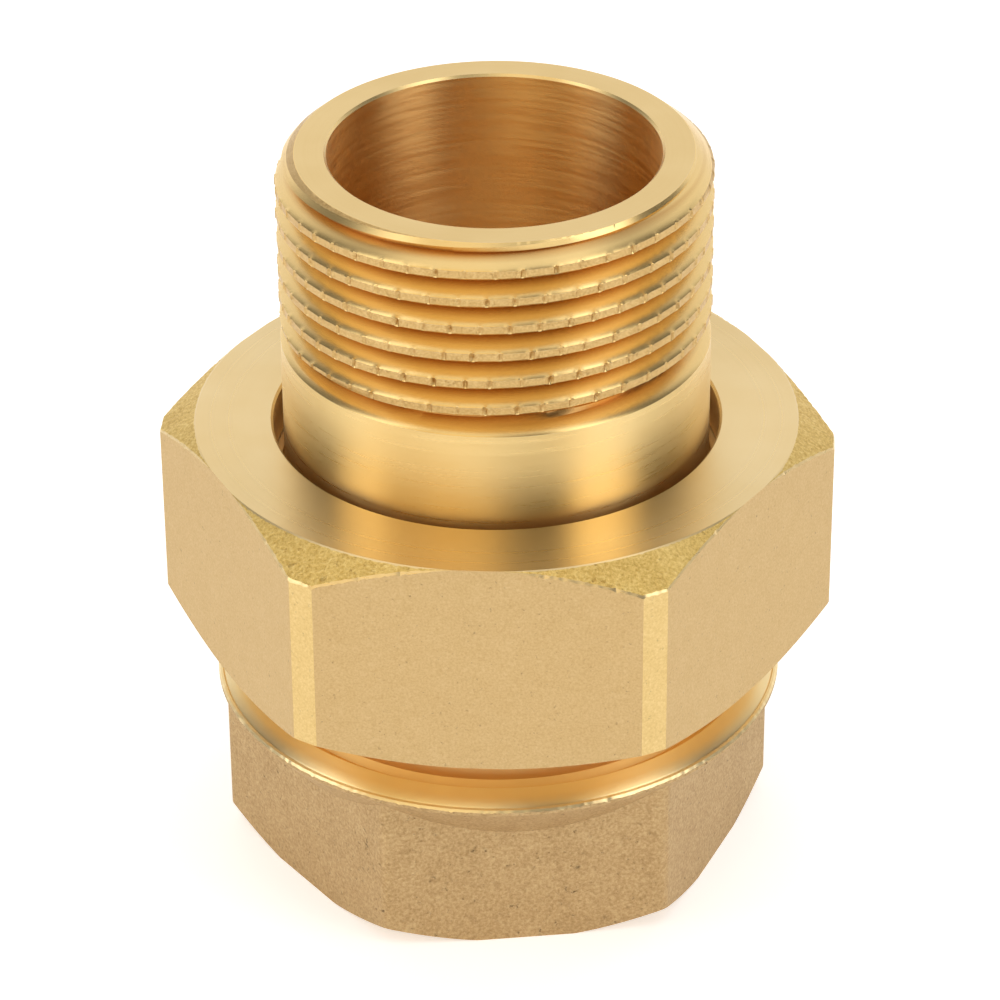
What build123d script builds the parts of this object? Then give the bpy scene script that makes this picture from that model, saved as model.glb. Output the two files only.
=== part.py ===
from build123d import *
import os
from math import pi, radians, tan

# Pipe union, 3/4 inch, all sizes in mm.
# +Z runs along the pipe axis with the male end up; z = 0 is the end face of the female body.
# Four pieces: union_body (female hexagon end), sealing_gasket, male_tailpiece, union_nut.

# ---- threads (parallel pipe threads, 55 degree profile) ----
# Threads are drawn as rings of the true profile and pitch; the helix angle is left out.
FLANK = radians(27.5)           # half of the 55 degree thread angle
PITCH_34 = 1.814                # 3/4 inch, 14 turns per inch
R_34 = 13.22                    # crest radius of the male thread, root radius of the female
R_34_CORE = 12.06               # root radius of the male thread, crest radius of the female
LAND_34 = 0.46                  # width of a flat thread crest
PITCH_1 = 2.309                 # 1 inch, 11 turns per inch
R_1 = 16.62                     # crest radius of the male 1 inch thread
R_1_CORE = 15.15                # root radius of the male 1 inch thread
LAND_1 = 0.39
R_1_NUT = 16.72                 # wall of the nut's bore, at the root of its thread

# ---- waterway ----
R_BORE = 10.12
BORE_BREAK = 0.24

# ---- male tailpiece ----
Z_TOP = 47.5                    # end face of the male end
LEAD = (12.66, 47.17)           # radius and height where the lead chamfer meets the first groove
Z_CREST = 46.0                  # middle of the highest crest
CRESTS_34 = 6
Z_NECK = 35.15                  # top of the plain neck
R_NECK = (13.24, 13.20)         # neck radius at the flange and at the top: a slight draft
Z_FLANGE = (23.7, 26.1)         # flange that the nut's shoulder pulls down
R_FLANGE = 14.95

# ---- union nut ----
NUT_AF = 37.2
NUT_Z = (15.2, 29.25)
NUT_TURN = -3.85                # degrees, hexagon turned from a flat facing -Y
NUT_CORNER = 2.05               # corner radius
NUT_FACE_R = 18.65              # radius of the turned end faces
NUT_TOP_SLOPE = radians(31.5)
NUT_BOTTOM_SLOPE = radians(28.0)
R_NUT_HOLE = 13.86
Z_NUT_SHOULDER = 26.2
NUT_BREAK = 0.15
NUT_MOUTH = 0.6                 # chamfer at the mouth of the nut's bore

# ---- union body ----
BODY_AF = 30.4
BODY_TURN = 6.1
BODY_CORNER = 0.8
BODY_FACE_R = 15.5
BODY_SLOPE = radians(34.5)
R_COLLAR = 17.9                 # machined shoulder under the nut
Z_COLLAR = (11.2, 11.6)         # lower edge and machined top of the collar
Z_CONE = 8.1                    # where the collar's cone meets the middle of a flat
COLLAR_BREAK = 0.25
R_GROOVE = 15.0                 # relief groove above the shoulder
Z_CREST_1 = 14.7                # middle of the lowest crest of the 1 inch thread
CRESTS_1 = 3
Z_SEAT = 21.7                   # gasket seat
SEAT_CHAMFER = 1.5
Z_SOCKET = 12.2                 # depth of the female socket
Z_SOCKET_CREST = 1.75           # middle of the first crest of the female thread
CRESTS_SOCKET = 6
SOCKET_CHAMFER = 1.3

# ---- gasket ----
GASKET_Z = (Z_SEAT, Z_FLANGE[0])
GASKET_R = (10.6, 14.8)


def turned(*profile):
    """Solid of revolution about Z from (radius, height) points."""
    points = [(r, 0, z) for r, z in profile]
    return revolve(make_face(Polyline(*points, close=True)), Axis.Z)


def hexagon(across_flats, corner, turn, z0, z1):
    """Upright hexagonal bar with rounded corners and one flat facing -Y before the turn."""
    outline = RegularPolygon(across_flats / 2, 6, major_radius=False)
    outline = fillet(outline.vertices(), corner)
    return Pos(0, 0, z0) * Rot(0, 0, turn) * extrude(outline, z1 - z0)


def turned_hexagon(across_flats, corner, turn, z_span, face_r, slopes):
    """Hexagon whose corners are turned off at both ends; slopes are (bottom, top) angles."""
    z0, z1 = z_span
    reach = across_flats
    low, high = [(reach - face_r) * tan(slope) for slope in slopes]
    lower = turned((0, z0), (face_r, z0), (reach, z0 + low), (reach, z1 + 1), (0, z1 + 1))
    upper = turned((0, z0 - 1), (reach, z0 - 1), (reach, z1 - high), (face_r, z1), (0, z1))
    return hexagon(across_flats, corner, turn, z0, z1) & lower & upper


def thread_rings(r_crest, r_root, pitch, land, z_first, count):
    """Profile points of count crests, from the crest at z_first upwards in steps of pitch."""
    run = abs(r_crest - r_root) * tan(FLANK)
    points = []
    for k in range(count):
        z = z_first + k * pitch
        points += [
            (r_root, z - land / 2 - run), (r_crest, z - land / 2),
            (r_crest, z + land / 2), (r_root, z + land / 2 + run),
        ]
    return points


def male_tailpiece():
    """Male 3/4 end, plain neck and clamped flange, with a plain bore."""
    z_low = Z_CREST - (CRESTS_34 - 1) * PITCH_34
    run = (R_34 - R_34_CORE) * tan(FLANK)
    rings = thread_rings(R_34, R_34_CORE, PITCH_34, LAND_34, z_low, CRESTS_34)
    return turned(
        (R_BORE, Z_FLANGE[0]), (R_FLANGE, Z_FLANGE[0]), (R_FLANGE, Z_FLANGE[1]),
        (R_NECK[0], Z_FLANGE[1]), (R_NECK[1], Z_NECK), (R_34_CORE, Z_NECK + run), *rings,
        (R_34_CORE, LEAD[1] - (LEAD[0] - R_34_CORE) * tan(FLANK)), LEAD, (R_34_CORE, Z_TOP),
        (R_BORE + BORE_BREAK, Z_TOP), (R_BORE, Z_TOP - BORE_BREAK),
    )


def union_nut():
    """Hexagon nut with a threaded bore, an inner shoulder and a plain hole round the neck."""
    z0, z1 = NUT_Z
    nut = turned_hexagon(NUT_AF, NUT_CORNER, NUT_TURN, NUT_Z, NUT_FACE_R,
                         (NUT_BOTTOM_SLOPE, NUT_TOP_SLOPE))
    return nut - turned(
        (0, z0 - 1), (R_1_NUT + NUT_MOUTH, z0 - 1), (R_1_NUT + NUT_MOUTH, z0),
        (R_1_NUT, z0 + NUT_MOUTH), (R_1_NUT, Z_NUT_SHOULDER), (R_NUT_HOLE, Z_NUT_SHOULDER),
        (R_NUT_HOLE, z1 - NUT_BREAK), (R_NUT_HOLE + NUT_BREAK, z1),
        (R_NUT_HOLE + NUT_BREAK, z1 + 1), (0, z1 + 1),
    )


def union_body():
    """Female hexagon end with the coned collar, the male 1 inch thread and the gasket seat."""
    body = turned_hexagon(BODY_AF, BODY_CORNER, BODY_TURN, (0, Z_COLLAR[0]), BODY_FACE_R,
                          (BODY_SLOPE, 0))
    seat_drop = SEAT_CHAMFER * tan(pi / 6)
    body += turned(
        (0, Z_CONE), (BODY_AF / 2, Z_CONE), (R_COLLAR, Z_COLLAR[0]),
        (R_COLLAR, Z_COLLAR[1] - COLLAR_BREAK), (R_COLLAR - COLLAR_BREAK, Z_COLLAR[1]),
        (R_GROOVE, Z_COLLAR[1]), (R_GROOVE, Z_CREST_1 - PITCH_1 / 2),
        *thread_rings(R_1, R_1_CORE, PITCH_1, LAND_1, Z_CREST_1, CRESTS_1),
        (R_1, Z_SEAT - SEAT_CHAMFER * tan(FLANK) - seat_drop / 2), (R_1, Z_SEAT - seat_drop),
        (R_1 - SEAT_CHAMFER, Z_SEAT), (0, Z_SEAT),
    )
    rings = thread_rings(R_34_CORE, R_34, PITCH_34, LAND_34, Z_SOCKET_CREST, CRESTS_SOCKET)
    return body - turned(
        (0, -1), (R_34_CORE + SOCKET_CHAMFER, -1), (R_34_CORE + SOCKET_CHAMFER, 0), *rings,
        (R_34, Z_SOCKET), (R_BORE, Z_SOCKET), (R_BORE, Z_SEAT + 1), (0, Z_SEAT + 1),
    )


def sealing_gasket():
    """Flat ring between the body's seat and the tailpiece's flange."""
    r0, r1 = GASKET_R
    z0, z1 = GASKET_Z
    return turned((r0, z0), (r1, z0), (r1, z1), (r0, z1))


PIECES = {
    "union_body": union_body,
    "sealing_gasket": sealing_gasket,
    "male_tailpiece": male_tailpiece,
    "union_nut": union_nut,
}

os.makedirs("parts", exist_ok=True)
for name, make in PIECES.items():
    piece = make().solids()[0]
    print(name, piece.is_valid, round(piece.volume, 1), len(piece.faces()))
    export_step(piece, f"parts/{name}.step")
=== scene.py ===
from math import cos, pi, radians, sin, tan

import bpy
import numpy as np
from mathutils import Matrix, Vector


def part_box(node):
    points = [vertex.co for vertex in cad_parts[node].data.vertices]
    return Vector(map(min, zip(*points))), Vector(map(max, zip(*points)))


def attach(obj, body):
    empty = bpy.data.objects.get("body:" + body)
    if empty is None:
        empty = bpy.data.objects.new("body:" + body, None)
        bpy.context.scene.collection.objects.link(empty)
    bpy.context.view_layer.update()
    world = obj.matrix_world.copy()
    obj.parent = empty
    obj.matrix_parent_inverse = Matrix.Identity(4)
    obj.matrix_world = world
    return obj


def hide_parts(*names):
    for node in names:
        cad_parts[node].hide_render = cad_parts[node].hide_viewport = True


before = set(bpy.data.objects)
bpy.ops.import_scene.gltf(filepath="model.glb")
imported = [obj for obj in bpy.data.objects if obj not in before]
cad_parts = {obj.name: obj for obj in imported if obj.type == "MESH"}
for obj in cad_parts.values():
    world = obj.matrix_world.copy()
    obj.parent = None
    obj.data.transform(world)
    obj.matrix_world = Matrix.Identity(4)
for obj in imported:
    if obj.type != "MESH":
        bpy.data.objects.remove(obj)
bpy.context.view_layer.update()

# Shapes are worked out in millimetres, as in the CAD, and scaled to metres when a mesh is made.
MM = 0.001
WELD = 1e-4                     # mm, points of one column nearer than this are one point


def span(node):
    """Lowest and highest z of a CAD node, in mm."""
    lo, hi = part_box(node)
    return lo.z / MM, hi.z / MM


Z_FLANGE, Z_TOP = span("male_tailpiece")
Z_NUT, Z_NUT_TOP = span("union_nut")
Z_BASE, Z_SEAT = span("union_body")

# ---- threads, as in the CAD but with their helix ----
FLANK = radians(27.5)
PITCH_34, R_34, R_34_CORE, LAND_34 = 1.814, 13.22, 12.06, 0.46
PITCH_1, R_1, R_1_CORE, LAND_1 = 2.309, 16.62, 15.15, 0.39
ROOT_ROUND = 0.12               # radius at the bottom of a thread groove
EASE, EASE_START = 0.26, 0.85   # height over which a flank bends, and its slope where it starts
Z_CREST_34 = Z_TOP - 1.5        # highest full crest, at the front
Z_CREST_1 = 14.7                # lowest crest of the body's outer thread, at the front
Z_SOCKET_CREST = 1.75           # lowest crest of the socket's thread, at the front

# ---- tailpiece ----
R_BORE, BORE_BREAK = 10.12, 0.15
R_FACE = 12.07                  # outside of the end face, where the lead chamfer starts
LEAD_SLOPE = radians(40)
R_NECK, Z_NECK = 13.22, Z_TOP - 12.35
RELIEF_FLOOR = Z_NECK + 0.8     # where the thread starts to rise out of the relief
R_FLANGE, FLANGE_HIGH = 14.95, 2.4
BLEND = 0.05                    # softness of the line where the thread runs out at the neck
KNURLS_PER_TURN = 47.72         # tool marks across the crests
# Depth or height of each part of a mark, and its half width along the crest.
MARK_PIT, MARK_PIT_WIDE = 0.2, 0.1
MARK_EDGE, MARK_EDGE_WIDE = 0.08, 0.08
MARK_BURR, MARK_BURR_WIDE, MARK_BURR_OFF = 0.06, 0.07, 0.2
MARK_RISE, MARK_RISE_WIDE = 0.07, 0.15

# ---- nut ----
NUT_AF, NUT_TURN = 37.2, radians(-3.85)
NUT_CORNER_CUT = 21.0           # distance from the axis to the flat strip along each corner
NUT_FACE_R = 18.65
NUT_TOP_SLOPE, NUT_BOTTOM_SLOPE = radians(31.5), radians(28)
R_NUT_HOLE, NUT_BREAK, NUT_WEB, R_NUT_BORE, R_NUT_TEETH = 13.86, 0.15, 3.05, 16.72, 15.3
NUT_MOUTH = 0.6
NUT_UNDERCUT, NUT_THREAD_END = 2.3, 2.4   # below the web: plain bore, then the thread
NUT_BURR, NUT_EDGE, NUT_RIM = 0.035, 0.05, 0.04   # raggedness of the turned edges

# ---- body ----
BODY_AF, BODY_TURN, BODY_CORNER = 30.4, radians(6.1), 0.8
BODY_FACE_R, BODY_SLOPE = 15.5, radians(34.5)
R_COLLAR, Z_COLLAR, Z_COLLAR_TOP, Z_CONE = 17.9, 11.2, 11.6, 8.1
R_GROOVE, Z_GROOVE = 15.0, 13.4
R_RIM, Z_RIM, RIM_SLOPE = 16.25, 12.14, radians(19)
Z_SOCKET, SOCKET_CHAMFER = 12.2, 1.3
SEAT_CHAMFER, SEAT_SLOPE = 1.5, pi / 6
LIP = 0.06                      # raggedness of the collar's upper edge


# ---------------------------------------------------------------- meshes
def turns(count):
    """Parts of a turn from the front, 0 to 1, count columns and the first one again."""
    return np.linspace(0, 1, count + 1)[:, None]


def ring_mesh(name, a, rows, materials, crease=40):
    """Closed ring mesh. rows is a list of (radius, height, material index), the outside upwards
    first; each of the three is a number or one number a column. Rows that lie on each
    other are welded, and the last column is welded to the first."""
    columns = len(a) - 1
    r = np.hstack([np.broadcast_to(row[0], a.shape) for row in rows])
    z = np.hstack([np.broadcast_to(row[1], a.shape) for row in rows])
    column = np.broadcast_to(np.arange(columns + 1)[:, None] % columns, r.shape)
    keys = np.stack([column, np.round(r / WELD), np.round(z / WELD)], -1).reshape(-1, 3)
    _, first, index = np.unique(keys.astype(np.int64), axis=0,
                                return_index=True, return_inverse=True)
    theta = 2 * pi * (column / columns - 0.25)
    points = np.stack([r * np.cos(theta), r * np.sin(theta), z], -1).reshape(-1, 3)
    index = index.reshape(r.shape)
    right = np.roll(index, -1, 1)
    quads = np.stack([index[:-1], index[1:], right[1:], right[:-1]], -1).reshape(-1, 4)
    slots = np.hstack([np.broadcast_to(row[2], a.shape) for row in rows])[:-1].reshape(-1)
    faces, face_slots = [], []
    for quad, slot in zip(quads.tolist(), slots.tolist()):
        face = [v for i, v in enumerate(quad) if v != quad[i - 1]]
        if len(face) > 2 and len(set(face)) == len(face):
            faces.append(face)
            face_slots.append(slot)
    mesh = bpy.data.meshes.new(name)
    mesh.from_pydata((points[first] * MM).tolist(), [], faces)
    for material in materials:
        mesh.materials.append(material)
    mesh.polygons.foreach_set("material_index", face_slots)
    mesh.polygons.foreach_set("use_smooth", [True] * len(faces))
    mesh.set_sharp_from_angle(angle=radians(crease))
    mesh.update()
    piece = bpy.data.objects.new(name, mesh)
    bpy.context.scene.collection.objects.link(piece)
    return piece


def flank_depth(x):
    """Depth of a thread flank at a height x from its edge, eased near the edge."""
    steep = 1 / tan(FLANK)
    eased = np.clip(x, 0, EASE)
    depth = EASE_START * eased + (steep - EASE_START) * eased ** 2 / (2 * EASE)
    return depth + steep * (np.clip(x, 0, None) - eased)


def groove_profile(pitch, land, depth):
    """Depth below the crest against the distance from the crest's middle, as a function."""
    centre = depth - ROOT_ROUND

    def below(d):
        flank = flank_depth(np.abs(d) - land / 2)
        off = np.clip(np.abs(np.abs(d) - pitch / 2), 0, ROOT_ROUND)
        arc = centre + np.sqrt(ROOT_ROUND ** 2 - off ** 2)
        return np.minimum(flank, np.where(off < ROOT_ROUND, arc, depth))
    return below


def helix_rows(a, z_first, pitch, land, z_low, z_high, radius, slot,
               land_slot=None, fine=True):
    """Rows that climb with a right-hand thread between two heights. radius gives the radius
    for the turn count, the distance from the nearest crest's middle and the height. The flat
    crests can have a material of their own. Hidden threads have fewer rows."""
    land_slot = slot if land_slot is None else land_slot
    half = pitch / 2
    edge = land / 2
    steps = [-half, -half + 0.08, -edge - EASE, -edge - 0.08, -edge, 0, edge, edge + 0.06,
             edge + 0.13, edge + 0.2, edge + EASE + 0.01, half - 0.1, half - 0.05]
    if not fine:
        steps = [-half, -half + 0.08, -edge - EASE, -edge, edge, edge + EASE, half - 0.08]
    low = int(np.floor((z_low - z_first) / pitch)) - 2
    high = int(np.ceil((z_high - z_first) / pitch)) + 1
    rows = []
    for k in range(low, high + 1):
        for s in steps:
            turn = a + k
            z = np.clip(z_first + pitch * turn + s, z_low, z_high)
            d = (z - z_first - pitch * a + half) % pitch - half
            land = s in (-edge, 0)
            rows.append((radius(turn, d, z), z,
                         np.where(land & (z > z_low + 0.8), land_slot, slot)))
    return rows


def hexagon_radius(a, across_flats, turn, corner=0, corner_cut=None):
    """Distance from the axis to a hexagon with rounded corners and a flat at the front. Where
    corner_cut is given, the corners are cut flat at that distance instead."""
    h = across_flats / 2
    off = np.abs((2 * pi * a - turn + pi / 6) % (pi / 3) - pi / 6)
    to_corner = pi / 6 - off
    if corner_cut is not None:
        return np.minimum(h / np.cos(off), corner_cut / np.cos(to_corner))
    centre = (h - corner) / cos(pi / 6)
    arc = centre * np.cos(to_corner) + np.sqrt(
        np.clip(corner ** 2 - (centre * np.sin(to_corner)) ** 2, 0, None))
    on_flat = np.tan(off) * h <= (h - corner) * tan(pi / 6)
    return np.where(on_flat, h / np.cos(off), arc)


def ragged(a, size, seed, waves=40, finest=420):
    """A small seeded waviness round the ring, for edges left by a rough surface."""
    rng = np.random.default_rng(seed)
    total = 0
    for n in rng.integers(12, finest, waves):
        total = total + np.sin(2 * pi * (a * n + rng.random()))
    return size * total / np.sqrt(waves)


# ---------------------------------------------------------------- tailpiece
def make_tailpiece(materials):
    """Male end with a cut thread, plain neck and hidden flange."""
    turned, thread, bore, end, crest = range(5)
    a = turns(800)
    below = groove_profile(PITCH_34, LAND_34, R_34 - R_34_CORE)
    rng = np.random.default_rng(11)
    mark_depth = rng.uniform(0.5, 1.25, 900)
    mark_place = rng.uniform(-0.12, 0.12, 900)
    arc = 2 * pi * R_34 / KNURLS_PER_TURN

    def thread_radius(turn, d, z):
        mark = turn * KNURLS_PER_TURN
        n = np.round(mark).astype(int)
        u = (mark - n - mark_place[n]) * arc
        beyond = np.abs(d) - LAND_34 / 2
        pit = MARK_PIT * np.exp(-(u / MARK_PIT_WIDE) ** 2) * (beyond < -0.05)
        edge = MARK_EDGE * np.exp(-(u / MARK_EDGE_WIDE) ** 2) * (np.abs(beyond) < 0.03)
        beside = (np.abs(u) - MARK_BURR_OFF) / MARK_BURR_WIDE
        burr = MARK_BURR * np.exp(-beside ** 2) * (beyond < 0.03)
        rise = MARK_RISE * np.exp(-(u / MARK_RISE_WIDE) ** 2) * (np.abs(beyond - 0.07) < 0.03)
        dent = (pit + edge - burr - rise) * mark_depth[n] * (z > Z_NECK + 0.5)
        lead = R_FACE + (Z_TOP - z) / tan(LEAD_SLOPE)
        foot = R_NECK - flank_depth(z - Z_NECK)
        top = R_34_CORE + (z - RELIEF_FLOOR) / tan(FLANK)
        relief = np.maximum(np.maximum(foot, top), R_34_CORE)
        cut = np.minimum(R_34 - below(d) - dent, lead)
        return (cut + relief - np.hypot(cut - relief, BLEND)) / 2

    rows = [
        (R_FLANGE - 0.2, Z_FLANGE, turned), (R_FLANGE, Z_FLANGE + 0.2, turned),
        (R_FLANGE, Z_FLANGE + FLANGE_HIGH - 0.3, turned),
        (R_FLANGE - 0.3, Z_FLANGE + FLANGE_HIGH, turned),
        (R_NECK + 0.2, Z_FLANGE + FLANGE_HIGH, turned),
        (R_NECK, Z_FLANGE + FLANGE_HIGH + 0.2, turned),
        (R_NECK, Z_NUT_TOP, turned), (R_NECK, (Z_NUT_TOP + Z_NECK) / 2, turned),
        (R_NECK, Z_NECK - 0.2, turned), (R_NECK, Z_NECK - 0.05, turned),
        *[(R_NECK - flank_depth(x), Z_NECK + x, thread) for x in (0, 0.06, 0.13, 0.2, 0.27)],
        *helix_rows(a, Z_CREST_34, PITCH_34, LAND_34, Z_NECK + 0.3, Z_TOP, thread_radius,
                     thread, crest),
        (R_FACE - 0.04, Z_TOP, end), ((R_FACE + R_BORE) / 2, Z_TOP, end),
        (R_BORE + BORE_BREAK, Z_TOP, turned), (R_BORE, Z_TOP - BORE_BREAK, bore),
        (R_BORE, Z_TOP - 5, bore), (R_BORE, (Z_TOP + Z_FLANGE) / 2, bore),
        (R_BORE, Z_FLANGE + 0.2, bore), (R_BORE + 0.2, Z_FLANGE, turned),
    ]
    return ring_mesh("tailpiece", a, rows, materials)


# ---------------------------------------------------------------- union nut
def make_nut(materials):
    """Hexagon nut with turned-off corners, a plain hole above and its own thread below."""
    blasted, chamfer, turned, inside, strip = range(5)
    a = turns(720)
    rho = hexagon_radius(a, NUT_AF, NUT_TURN, corner_cut=NUT_CORNER_CUT)
    uncut = hexagon_radius(a, NUT_AF, NUT_TURN, corner_cut=2 * NUT_AF)
    side = np.where(rho < uncut - WELD, strip, blasted)
    top = np.minimum(rho, NUT_FACE_R)
    bottom = np.minimum(rho, NUT_FACE_R)
    z_high = Z_NUT_TOP - (rho - top) * tan(NUT_TOP_SLOPE)
    z_low = Z_NUT + (rho - bottom) * tan(NUT_BOTTOM_SLOPE)
    cut = np.clip((rho - top) / 0.3, 0, 1)
    z_high = z_high - np.abs(ragged(a, NUT_BURR, 5)) * cut
    edge = (0.1 + np.abs(ragged(a, NUT_EDGE, 6))) * cut
    rim = (0.08 + np.abs(ragged(a, NUT_RIM, 7))) * cut
    below = groove_profile(PITCH_1, LAND_1, R_NUT_BORE - R_NUT_TEETH)

    # Known fault: the eased flanks of these teeth and of the body's thread overlap by up to
    # 0.2 mm, hidden inside the nut.
    def tooth_radius(turn, d, z):
        return R_NUT_TEETH + below(d)

    thread = helix_rows(a, Z_CREST_1 + PITCH_1 / 2, PITCH_1, LAND_1, Z_NUT + NUT_MOUTH,
                        Z_NUT_TOP - NUT_WEB - NUT_THREAD_END, tooth_radius, inside, fine=False)
    rows = [
        (bottom, Z_NUT, chamfer), (rho, z_low, side),
        (rho, (2 * z_low + z_high) / 3, side), (rho, (z_low + 2 * z_high) / 3, side),
        (rho, z_high - edge, turned),
        (rho - 0.6 * edge, z_high + 0.6 * edge * tan(NUT_TOP_SLOPE), chamfer),
        ((rho + top) / 2, (z_high + Z_NUT_TOP) / 2, chamfer),
        (top + rim, Z_NUT_TOP - rim * tan(NUT_TOP_SLOPE), turned),
        (top, Z_NUT_TOP, turned), (NUT_FACE_R - 1.6, Z_NUT_TOP, turned),
        (NUT_FACE_R - 3.2, Z_NUT_TOP, turned), (R_NUT_HOLE + NUT_BREAK, Z_NUT_TOP, turned),
        (R_NUT_HOLE, Z_NUT_TOP - NUT_BREAK, inside), (R_NUT_HOLE, Z_NUT_TOP - NUT_WEB, inside),
        (R_NUT_BORE, Z_NUT_TOP - NUT_WEB, inside),
        (R_NUT_BORE, Z_NUT_TOP - NUT_WEB - NUT_UNDERCUT, inside),
        *thread[::-1],
        (R_NUT_BORE + NUT_MOUTH, Z_NUT, turned),
    ]
    return ring_mesh("union_nut_hexagon", a, rows, materials, 20)


# ---------------------------------------------------------------- union body
def make_body(materials):
    """Forged hexagon end with a turned shoulder, an outer thread and a threaded socket."""
    forged, turned, inside, relief = range(4)
    a = turns(720)
    rho = hexagon_radius(a, BODY_AF, BODY_TURN, BODY_CORNER)
    bottom = np.minimum(rho, BODY_FACE_R)
    z_low = Z_BASE + (rho - bottom) * tan(BODY_SLOPE)
    z_high = Z_CONE + (rho - BODY_AF / 2) * (Z_COLLAR - Z_CONE) / (R_COLLAR - BODY_AF / 2)
    lip = np.abs(ragged(a, LIP, 9))
    below_1 = groove_profile(PITCH_1, LAND_1, R_1 - R_1_CORE)
    below_34 = groove_profile(PITCH_34, LAND_34, R_34 - R_34_CORE)

    def outer_radius(turn, d, z):
        lead = R_1 - SEAT_CHAMFER + (Z_SEAT - z) / tan(SEAT_SLOPE)
        start = R_GROOVE + (z - Z_GROOVE) / tan(FLANK)
        return np.minimum(np.minimum(R_1 - below_1(d), lead), start)

    def socket_radius(turn, d, z):
        return np.maximum(R_34_CORE + below_34(d), R_34_CORE + SOCKET_CHAMFER - z)

    outer = helix_rows(a, Z_CREST_1, PITCH_1, LAND_1, Z_GROOVE, Z_SEAT, outer_radius, relief)
    socket = helix_rows(a, Z_SOCKET_CREST, PITCH_34, LAND_34, Z_BASE, Z_SOCKET - 0.3,
                        socket_radius, inside, fine=False)
    rows = [
        (bottom, Z_BASE, forged), (rho, z_low, forged),
        (rho, (z_low + z_high) / 2, forged), (rho, z_high, forged),
        (R_COLLAR, Z_COLLAR, forged), (R_COLLAR, Z_COLLAR_TOP - 0.16 - lip, turned),
        (R_COLLAR - 0.1, Z_COLLAR_TOP - 0.03 - 0.4 * lip, turned),
        (R_COLLAR - 0.24, Z_COLLAR_TOP + 0.01, turned),
        (R_COLLAR - 0.3, Z_COLLAR_TOP - 0.04, turned),
        (R_COLLAR - 0.38, Z_COLLAR_TOP + 0.06, turned),
        (R_RIM + 0.6, Z_RIM - 0.6 * tan(RIM_SLOPE), turned), (R_RIM, Z_RIM, relief),
        (R_RIM - 0.15, Z_COLLAR_TOP, relief), (R_GROOVE + 0.4, Z_COLLAR_TOP - 0.1, relief),
        (R_GROOVE, Z_COLLAR_TOP + 0.3, relief),
        *outer,
        (R_1 - SEAT_CHAMFER - 0.05, Z_SEAT, turned), (R_BORE + 0.2, Z_SEAT, inside),
        (R_BORE, Z_SEAT - 0.2, inside), (R_BORE, Z_SOCKET + 0.3, inside),
        (R_BORE + 0.3, Z_SOCKET, inside), (R_34, Z_SOCKET, inside),
        *socket[::-1],
        (R_34_CORE + SOCKET_CHAMFER, Z_BASE, turned),
    ]
    return ring_mesh("union_body_forging", a, rows, materials, 30)


# ---------------------------------------------------------------- materials
def srgb(r, g, b):
    """Linear colour with alpha from an 8-bit sRGB one."""
    parts = [c / 255 for c in (r, g, b)]
    return [c / 12.92 if c < 0.04045 else ((c + 0.055) / 1.055) ** 2.4 for c in parts] + [1]


class Nodes:
    """A short way to build a material's node tree."""

    def __init__(self, name):
        self.material = bpy.data.materials.new(name)
        self.material.use_nodes = True
        self.tree = self.material.node_tree
        self.shader = self.tree.nodes["Principled BSDF"] if "Principled BSDF" in \
            self.tree.nodes else self.add("ShaderNodeBsdfPrincipled")
        self.place = self.add("ShaderNodeTexCoord").outputs["Object"]

    def add(self, kind, **settings):
        node = self.tree.nodes.new(kind)
        for key, value in settings.items():
            setattr(node, key, value)
        return node

    def join(self, source, target):
        self.tree.links.new(source, target)

    def noise(self, scale, detail=2.0, stretch=(1, 1, 1), rough=0.5):
        """Noise of about scale features a metre, squeezed along each axis by stretch."""
        mapping = self.add("ShaderNodeMapping")
        mapping.inputs["Scale"].default_value = stretch
        node = self.add("ShaderNodeTexNoise")
        node.inputs["Scale"].default_value = scale
        node.inputs["Detail"].default_value = detail
        node.inputs["Roughness"].default_value = rough
        self.join(self.place, mapping.inputs["Vector"])
        self.join(mapping.outputs["Vector"], node.inputs["Vector"])
        return node.outputs["Fac"]

    def spread(self, value, low, high, start=0.3, end=0.7):
        """Maps value from start..end to low..high."""
        node = self.add("ShaderNodeMapRange")
        node.inputs["From Min"].default_value, node.inputs["From Max"].default_value = start, end
        node.inputs["To Min"].default_value, node.inputs["To Max"].default_value = low, high
        self.join(value, node.inputs["Value"])
        return node.outputs["Result"]

    def colours(self, value, *stops):
        """Colour ramp from (place, colour) stops."""
        ramp = self.add("ShaderNodeValToRGB").color_ramp
        while len(ramp.elements) < len(stops):
            ramp.elements.new(0.5)
        for element, (place, colour) in zip(ramp.elements, stops):
            element.position, element.color = place, colour
        node = self.tree.nodes[-1]
        self.join(value, node.inputs["Fac"])
        return node.outputs["Color"]

    def bump(self, height, distance, strength=1.0, under=None):
        node = self.add("ShaderNodeBump")
        node.inputs["Strength"].default_value = strength
        node.inputs["Distance"].default_value = distance
        self.join(height, node.inputs["Height"])
        if under is not None:
            self.join(under, node.inputs["Normal"])
        return node.outputs["Normal"]

    def polar(self):
        """Radius, and height, of the shaded point, in metres."""
        apart = self.add("ShaderNodeSeparateXYZ")
        flat = self.add("ShaderNodeCombineXYZ")
        length = self.add("ShaderNodeVectorMath", operation="LENGTH")
        self.join(self.place, apart.inputs[0])
        self.join(apart.outputs["X"], flat.inputs["X"])
        self.join(apart.outputs["Y"], flat.inputs["Y"])
        self.join(flat.outputs[0], length.inputs[0])
        return length.outputs["Value"], apart.outputs["Z"]

    def turning_lines(self, pitch):
        """Fine rings left by a lathe tool: noise of radius and height only."""
        radius, height = self.polar()
        joined = self.add("ShaderNodeCombineXYZ")
        self.join(radius, joined.inputs["X"])
        self.join(height, joined.inputs["Y"])
        node = self.add("ShaderNodeTexNoise")
        node.inputs["Scale"].default_value = 1 / pitch
        node.inputs["Detail"].default_value = 3
        self.join(joined.outputs[0], node.inputs["Vector"])
        return node.outputs["Fac"]


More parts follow.
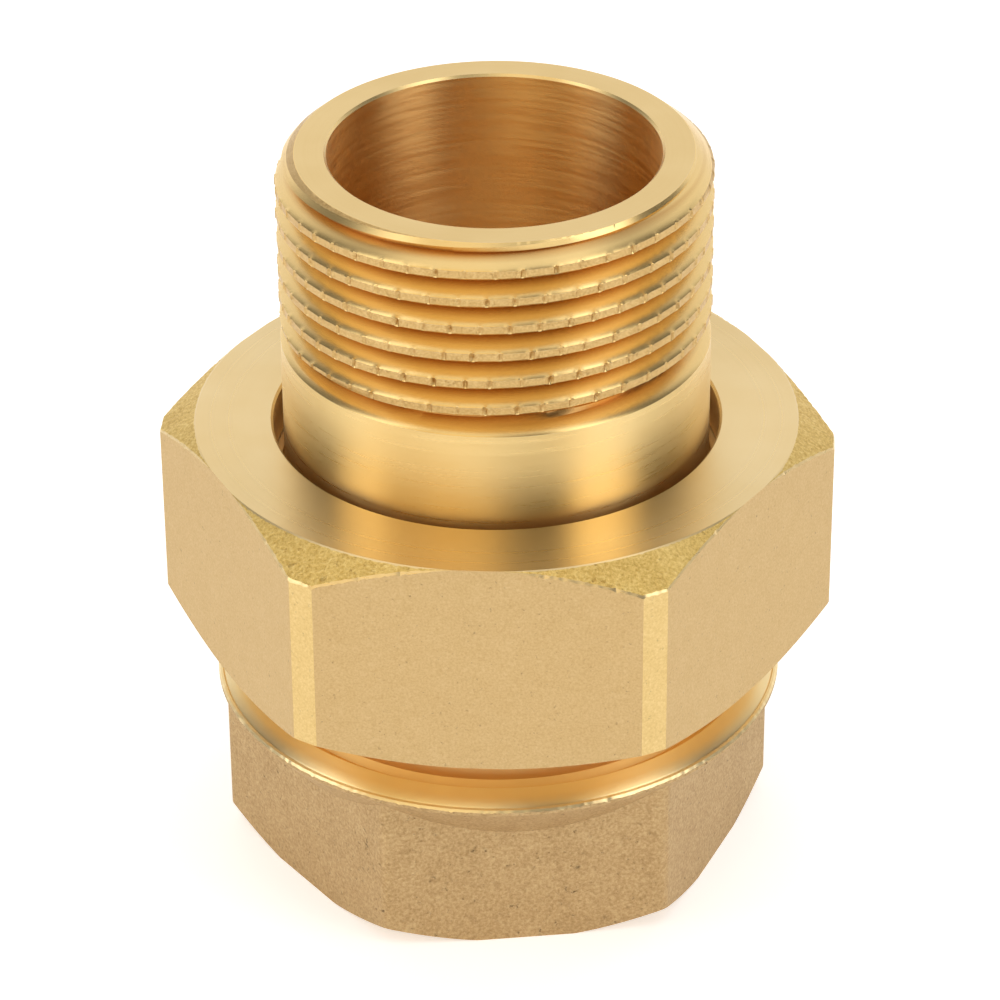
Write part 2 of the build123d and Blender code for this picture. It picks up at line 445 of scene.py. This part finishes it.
def turned_brass(name, low, high, roughness, anisotropy, line_height, pitch=0.00018,
                 uneven=0.07, painted_root_shade=None, scratches=0.0):
    """Brass straight off the lathe: fine rings, highlights drawn out across them. The root shade
    colour, when given, is painted shade laid into the bottom of the male thread's grooves."""
    m = Nodes(name)
    shader = m.shader.inputs
    shader["Metallic"].default_value = 1.0
    shader["Anisotropic"].default_value = anisotropy
    shader["Anisotropic Rotation"].default_value = 0.25
    tangent = m.add("ShaderNodeTangent", direction_type="RADIAL", axis="Z")
    m.join(tangent.outputs[0], shader["Tangent"])
    lines = m.turning_lines(pitch)
    broad = m.noise(140, 3)
    if scratches:
        fine = m.noise(2600, 4, (0.1, 0.1, 1.6), 0.7)
        both = m.add("ShaderNodeMath", operation="MULTIPLY_ADD")
        both.inputs[1].default_value = scratches
        m.join(fine, both.inputs[0])
        m.join(lines, both.inputs[2])
        lines = m.spread(both.outputs[0], 0, 1, 0.25 * (1 + scratches), 0.75 * (1 + scratches))
    metal = m.colours(broad, (0.3, low), (0.7, high))
    # Painted shade: the thread roots turn to the darker colour near the core radius, except
    # within half a millimetre of the end face.
    if painted_root_shade is not None:
        mix = m.add("ShaderNodeMix", data_type="RGBA")
        radius, height = m.polar()
        depth = m.add("ShaderNodeMath", operation="MULTIPLY")
        m.join(m.spread(radius, 1, 0, R_34_CORE * MM + 0.00008, R_34_CORE * MM + 0.0007),
               depth.inputs[0])
        m.join(m.spread(height, 1, 0, Z_TOP * MM - 0.0005, Z_TOP * MM - 0.0004), depth.inputs[1])
        m.join(depth.outputs[0], mix.inputs["Factor"])
        m.join(metal, mix.inputs["A"])
        mix.inputs["B"].default_value = painted_root_shade
        metal = mix.outputs["Result"]
    m.join(metal, shader["Base Color"])
    m.join(m.spread(lines, roughness * (1 - uneven), roughness * (1 + uneven)),
           shader["Roughness"])
    m.join(m.bump(lines, line_height), shader["Normal"])
    return m.material


def rough_brass(name, low, mid, high, roughness, grain, height, specks=0.0):
    """Blasted or forged brass: a matte skin of fine pits in three tones, with a few deeper
    dark specks."""
    m = Nodes(name)
    shader = m.shader.inputs
    shader["Metallic"].default_value = 1.0
    fine = m.noise(1 / grain, 3, rough=0.7)
    broad = m.noise(0.1 / grain, 2)
    mix = m.add("ShaderNodeMath", operation="MULTIPLY_ADD")
    mix.inputs[1].default_value = 0.6
    m.join(fine, mix.inputs[0])
    m.join(m.spread(broad, 0.17, 0.23), mix.inputs[2])
    skin = m.colours(mix.outputs[0], (0.32, low), (0.5, mid), (0.68, high))
    holes = m.noise(0.45 / grain, 4, rough=0.65)
    dark = m.add("ShaderNodeMix", data_type="RGBA")
    m.join(m.spread(holes, 0, specks, 0.64, 0.72), dark.inputs["Factor"])
    m.join(skin, dark.inputs["A"])
    dark.inputs["B"].default_value = [c * 0.35 for c in low[:3]] + [1]
    m.join(dark.outputs["Result"], shader["Base Color"])
    m.join(m.spread(fine, roughness * 1.1, roughness * 0.9), shader["Roughness"])
    pits = m.bump(m.spread(holes, 1, 0, 0.6, 0.75), height * 1.5)
    m.join(m.bump(fine, height, under=pits), shader["Normal"])
    return m.material


def rubber(name):
    m = Nodes(name)
    fine = m.noise(9000, 3)
    m.join(m.colours(fine, (0.3, srgb(24, 24, 25)), (0.7, srgb(38, 38, 40))),
           m.shader.inputs["Base Color"])
    m.join(m.spread(fine, 0.55, 0.75), m.shader.inputs["Roughness"])
    m.join(m.bump(fine, 0.00001), m.shader.inputs["Normal"])
    return m.material


PALE = srgb(234, 206, 146)
GOLD = srgb(230, 198, 134)
WARM = srgb(230, 196, 130)

neck_brass = turned_brass("turned_brass", GOLD, PALE, roughness=0.30, anisotropy=0.9,
                          line_height=1.2e-6, uneven=0.12, scratches=0.8)
end_brass = turned_brass("end_face_brass", srgb(218, 187, 125), srgb(226, 197, 138),
                         roughness=0.36, anisotropy=0.3, line_height=1.2e-6)
# Its darker root colour is painted shade in the thread grooves, not a colour of the metal.
thread_brass = turned_brass("thread_brass", WARM, GOLD, roughness=0.24, anisotropy=0.9,
                            line_height=1e-7, pitch=0.00009, uneven=0.02,
                            painted_root_shade=srgb(196, 146, 84))
crest_brass = rough_brass("crest_brass", srgb(176, 140, 84), srgb(204, 170, 112),
                          srgb(226, 196, 140), roughness=0.42, grain=0.00012, height=2.5e-5)
bore_brass = turned_brass("bore_brass", srgb(246, 200, 128), srgb(250, 210, 140),
                          roughness=0.38, anisotropy=0.9, line_height=4e-6, pitch=0.00025,
                          uneven=0.16, scratches=1.5)
nut_flats = rough_brass("blasted_brass", srgb(200, 171, 120), srgb(208, 180, 131),
                        srgb(215, 189, 143), roughness=0.62, grain=0.00014, height=1e-5,
                        specks=0.45)
nut_strips = rough_brass("corner_brass", srgb(212, 182, 122), srgb(222, 194, 134),
                         srgb(232, 206, 150), roughness=0.55, grain=0.00016, height=1.2e-5,
                         specks=0.4)
nut_corners = rough_brass("granular_brass", srgb(188, 152, 78), srgb(222, 190, 114),
                          srgb(246, 220, 150), roughness=0.5, grain=0.0002, height=6e-5,
                          specks=0.25)
nut_face = turned_brass("faced_brass", srgb(224, 195, 138), srgb(230, 204, 152),
                        roughness=0.29, anisotropy=0.9, line_height=1e-6, pitch=0.00022,
                        uneven=0.1)
forged = rough_brass("forged_brass", srgb(166, 136, 94), srgb(192, 163, 119),
                     srgb(210, 184, 141), roughness=0.6, grain=0.0002, height=3.5e-5,
                     specks=0.8)
shoulder = turned_brass("shoulder_brass", srgb(242, 216, 160), srgb(246, 222, 168),
                        roughness=0.34, anisotropy=0.9, line_height=6e-7, pitch=0.0003)
relief_brass = turned_brass("relief_brass", srgb(238, 198, 132), srgb(242, 206, 140),
                            roughness=0.5, anisotropy=0.2, line_height=6e-7)

tailpiece = make_tailpiece([neck_brass, thread_brass, bore_brass, end_brass, crest_brass])
nut = make_nut([nut_flats, nut_corners, nut_face, bore_brass, nut_strips])
body = make_body([forged, shoulder, bore_brass, relief_brass])

for piece, node, cad_body, slot in ((tailpiece, "male_tailpiece", "tailpiece", "turned_brass"),
                                    (nut, "union_nut", "nut", "nut_brass"),
                                    (body, "union_body", "body_end", "forged_brass")):
    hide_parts(node)
    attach(piece, cad_body)

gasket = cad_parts["sealing_gasket"]
gasket.data.materials.clear()
gasket.data.materials.append(rubber("gasket_rubber"))


# ---------------------------------------------------------------- stage and light
def make_floor():
    """Round pale floor with a soft white glow, so that the ground stays plain."""
    radius, height, glow = 3.0, -0.00002, 0.46
    mesh = bpy.data.meshes.new("floor")
    ring = [(radius * cos(2 * pi * k / 64), radius * sin(2 * pi * k / 64), height)
            for k in range(64)]
    mesh.from_pydata(ring, [], [list(range(64))])
    m = Nodes("floor_paper")
    m.shader.inputs["Base Color"].default_value = (0.86, 0.86, 0.86, 1)
    m.shader.inputs["Roughness"].default_value = 0.9
    m.shader.inputs["Specular IOR Level"].default_value = 0.0
    m.shader.inputs["Emission Color"].default_value = (1, 1, 1, 1)
    m.shader.inputs["Emission Strength"].default_value = glow
    mesh.materials.append(m.material)
    floor = bpy.data.objects.new("floor", mesh)
    bpy.context.scene.collection.objects.link(floor)


def make_world():
    """Plain white for the camera. The object reflects a soft studio instead: two tall side
    lights, a warm fill at the front left and a white ceiling."""
    ceiling, ceiling_from, ceiling_full = 1.15, radians(56), radians(78)
    world = bpy.data.worlds.new("studio")
    world.use_nodes = True
    tree = world.node_tree
    tree.nodes.clear()

    def add(kind, **settings):
        node = tree.nodes.new(kind)
        for key, value in settings.items():
            setattr(node, key, value)
        return node

    def join(source, target):
        tree.links.new(source, target)

    place = add("ShaderNodeTexCoord")
    apart = add("ShaderNodeSeparateXYZ")
    join(place.outputs["Generated"], apart.inputs[0])
    back = add("ShaderNodeMath", operation="MULTIPLY")
    back.inputs[1].default_value = -1
    join(apart.outputs["Y"], back.inputs[0])
    azimuth = add("ShaderNodeMath", operation="ARCTAN2")
    join(apart.outputs["X"], azimuth.inputs[0])
    join(back.outputs[0], azimuth.inputs[1])
    share = add("ShaderNodeMapRange")
    share.inputs["From Min"].default_value, share.inputs["From Max"].default_value = -pi, pi
    join(azimuth.outputs[0], share.inputs["Value"])
    around = add("ShaderNodeValToRGB")
    join(share.outputs[0], around.inputs["Fac"])
    # Degrees round from the front, brightness, and warmth from 0 to 1.
    lights = [(-180, 1.1, 0), (-140, 1.05, 0), (-124, 0.3, 0), (-104, 0.15, 0), (-94, 0.3, 0),
              (-86, 1.9, 0), (-68, 2.1, 0), (-58, 0.8, 1), (-30, 1.25, 1), (-8, 1.1, 1),
              (8, 0.4, 0.5), (20, 0.12, 0), (36, 0.12, 0), (46, 1.9, 0), (60, 2.5, 0),
              (72, 2.1, 0), (84, 0.3, 0), (96, 0.12, 0), (114, 0.25, 0), (132, 1.05, 0)]
    ramp = around.color_ramp
    while len(ramp.elements) < len(lights):
        ramp.elements.new(0.5)
    for element, (degrees, level, warmth) in zip(ramp.elements, lights):
        element.position = degrees / 360 + 0.5
        element.color = (level, level * (1 - 0.14 * warmth), level * (1 - 0.4 * warmth), 1)
    overhead = add("ShaderNodeMapRange", interpolation_type="SMOOTHSTEP")
    overhead.inputs["From Min"].default_value = sin(ceiling_from)
    overhead.inputs["From Max"].default_value = sin(ceiling_full)
    join(apart.outputs["Z"], overhead.inputs["Value"])
    blend = add("ShaderNodeMix", data_type="RGBA")
    join(overhead.outputs[0], blend.inputs["Factor"])
    join(around.outputs["Color"], blend.inputs["A"])
    blend.inputs["B"].default_value = (ceiling, ceiling, ceiling, 1)
    studio = add("ShaderNodeBackground")
    join(blend.outputs["Result"], studio.inputs["Color"])
    white = add("ShaderNodeBackground")
    white.inputs["Color"].default_value = (1, 1, 1, 1)
    rays = add("ShaderNodeLightPath")
    either = add("ShaderNodeMixShader")
    join(rays.outputs["Is Camera Ray"], either.inputs["Fac"])
    join(studio.outputs[0], either.inputs[1])
    join(white.outputs[0], either.inputs[2])
    join(either.outputs[0], add("ShaderNodeOutputWorld").inputs["Surface"])
    bpy.context.scene.world = world


def make_camera():
    """Looks down at the front from just over a quarter of a metre."""
    distance, elevation, yaw, roll = 0.28247, radians(31.263), radians(0.037), radians(-0.447)
    aim = Vector((0, 0, 0.022826))
    forward = Vector((0, cos(elevation), -sin(elevation)))
    right = Vector((1, 0, 0))
    up = right.cross(forward)
    turned = right * cos(yaw) - forward * sin(yaw)
    look = forward * cos(yaw) + right * sin(yaw)
    side = turned * cos(roll) + up * sin(roll)
    top = up * cos(roll) - turned * sin(roll)
    camera = bpy.data.cameras.new("camera")
    camera.sensor_width, camera.lens = 36, 161.86
    camera.clip_start, camera.clip_end = 0.01, 20
    holder = bpy.data.objects.new("camera", camera)
    holder.matrix_world = Matrix.Translation(aim - forward * distance) @ Matrix(
        (side, top, -look)).transposed().to_4x4()
    bpy.context.scene.collection.objects.link(holder)
    bpy.context.scene.camera = holder


make_floor()
make_world()
make_camera()
bpy.context.scene.view_settings.view_transform = "Standard"

bpy.context.view_layer.update()
